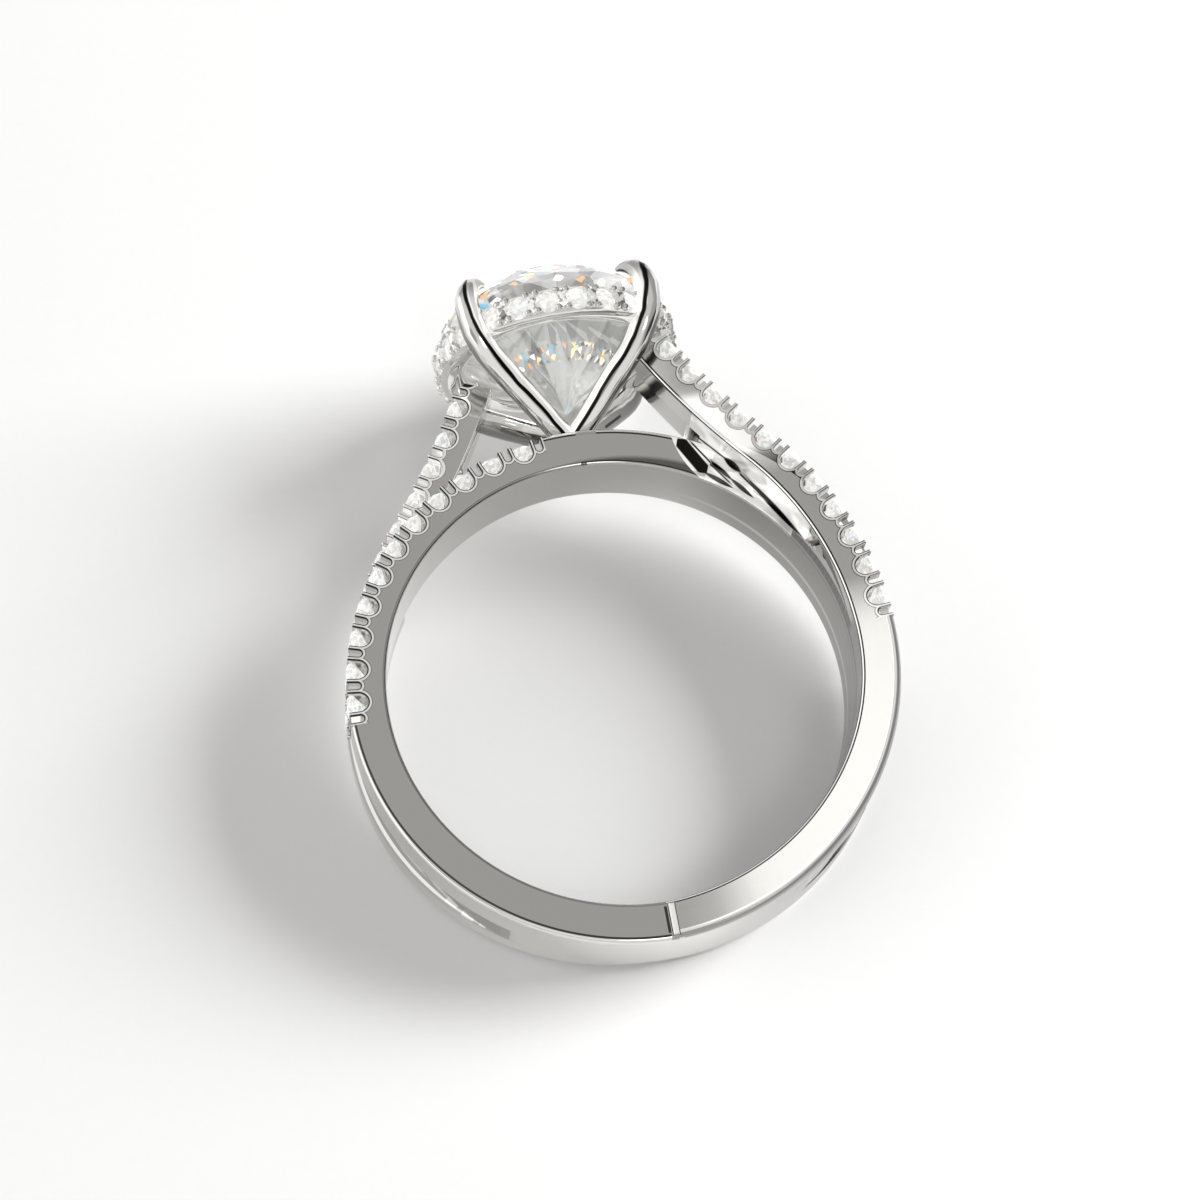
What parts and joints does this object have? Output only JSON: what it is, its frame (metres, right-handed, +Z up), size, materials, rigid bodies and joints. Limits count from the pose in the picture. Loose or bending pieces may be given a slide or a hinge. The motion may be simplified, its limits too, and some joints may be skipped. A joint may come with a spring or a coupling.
{
  "type": "hidden halo diamond ring",
  "caption": "White gold ring with a round diamond in four claws, a hidden halo of small diamonds under it, and a crossed split shank set with diamond rows.",
  "frame": {"origin": "on the surface that the ring lies on, under the middle of its bounding box", "axes": "+Z up from the surface, +Y from the foot of the shank towards the head, +X to the right seen from above with the head away from the viewer"},
  "size_m": [0.0198, 0.0258, 0.009],
  "materials": {
    "white_gold": "polished white gold",
    "diamond": "clear faceted diamond"
  },
  "bodies": {
    "root": {"ring_mount": "white_gold", "centre_stone": "diamond", "halo_stones": "diamond", "low_row_near": "diamond", "high_row_near": "diamond", "low_row_far": "diamond", "high_row_far": "diamond"}
  },
  "joints": []
}
